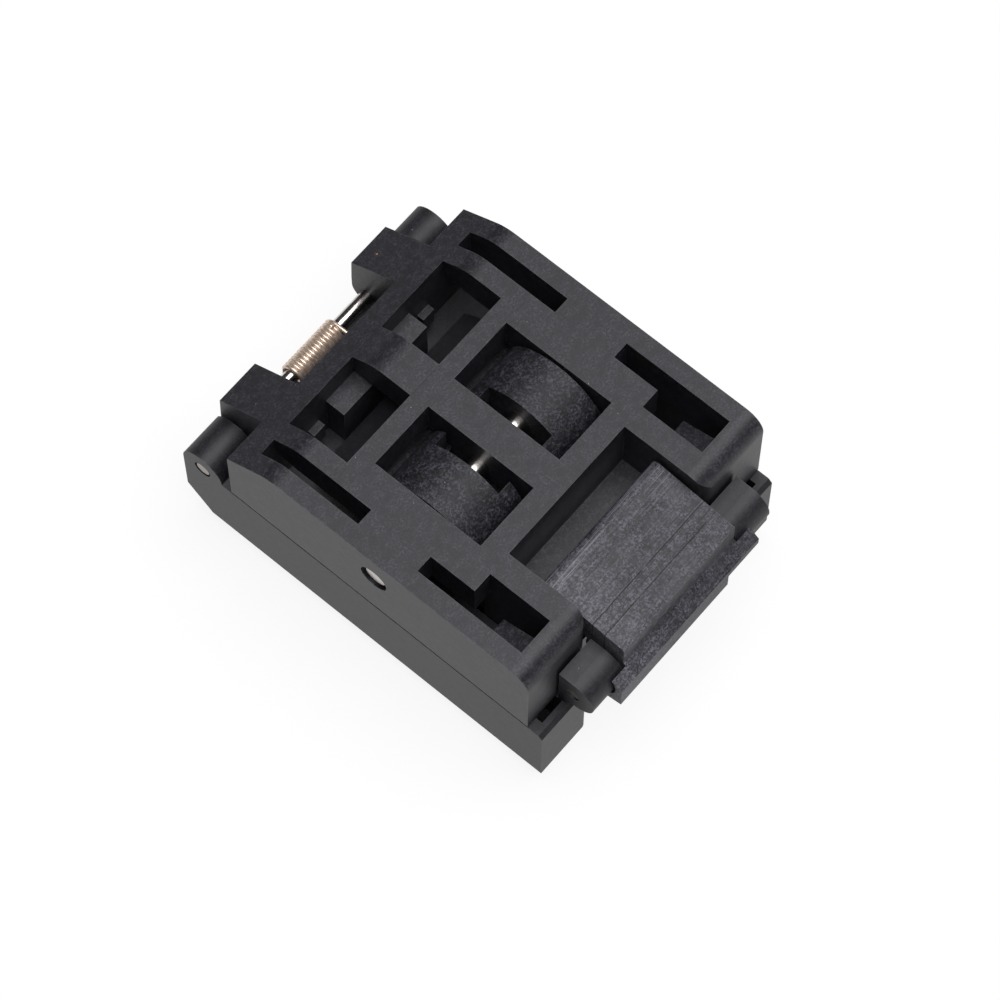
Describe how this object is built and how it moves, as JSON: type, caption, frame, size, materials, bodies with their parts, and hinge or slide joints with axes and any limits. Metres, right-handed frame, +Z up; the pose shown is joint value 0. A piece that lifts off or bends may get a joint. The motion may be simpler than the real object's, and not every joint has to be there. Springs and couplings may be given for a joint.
{
  "type": "ic test socket",
  "caption": "Clamshell socket for a flat leaded chip: hinged slotted lid with rocking pressure plate, sprung front latch, contacts with solder tails.",
  "frame": {"origin": "middle of the closed socket's outline seen from above, at the lower ends of the locating posts", "axes": "+X along the hinge, -Y towards the latch, +Z up from the board"},
  "size_m": [0.044, 0.0624, 0.0297],
  "materials": {
    "body_plastic": "matte moulded, glass filled",
    "blade_plastic": "matte moulded, natural",
    "pin_steel": "ground",
    "screw_steel": "satin",
    "spring_wire": "drawn wire",
    "latch_wire": "drawn wire",
    "contact_metal": "plated"
  },
  "bodies": {
    "base_body": {"base": "body_plastic", "keeper_plate": "body_plastic", "keeper_screws": "screw_steel", "package_nest": "body_plastic", "contacts_front": "contact_metal", "contacts_rear": "contact_metal", "contacts_left": "contact_metal", "contacts_right": "contact_metal", "hinge_pin": "pin_steel", "hinge_spring": "spring_wire", "latch_pin": "pin_steel", "latch_spring": "latch_wire"},
    "lid_body": {"lid": "body_plastic", "pressure_pin": "pin_steel"},
    "plate_body": {"pressure_plate": "body_plastic", "pusher_blades": "blade_plastic"},
    "latch_body": {"latch": "body_plastic"}
  },
  "joints": [
    {"name": "lid_hinge", "type": "hinge", "parent": "base_body", "child": "lid_body", "pos_m": [0, 0.028, 0.0154], "axis": [-1, 0, 0], "range_deg": [0, 100], "deforming": ["hinge_spring"]},
    {"name": "plate_rock", "type": "hinge", "parent": "lid_body", "child": "plate_body", "pos_m": [0, -0.0001, 0.0245], "axis": [1, 0, 0], "range_deg": [-2, 2]},
    {"name": "latch_turn", "type": "hinge", "parent": "base_body", "child": "latch_body", "pos_m": [0, -0.02665, 0.0201], "axis": [1, 0, 0], "range_deg": [0, 30], "stiffness_Nm_per_rad": 0.02, "springref_deg": -20.05, "deforming": ["latch_spring"]}
  ]
}
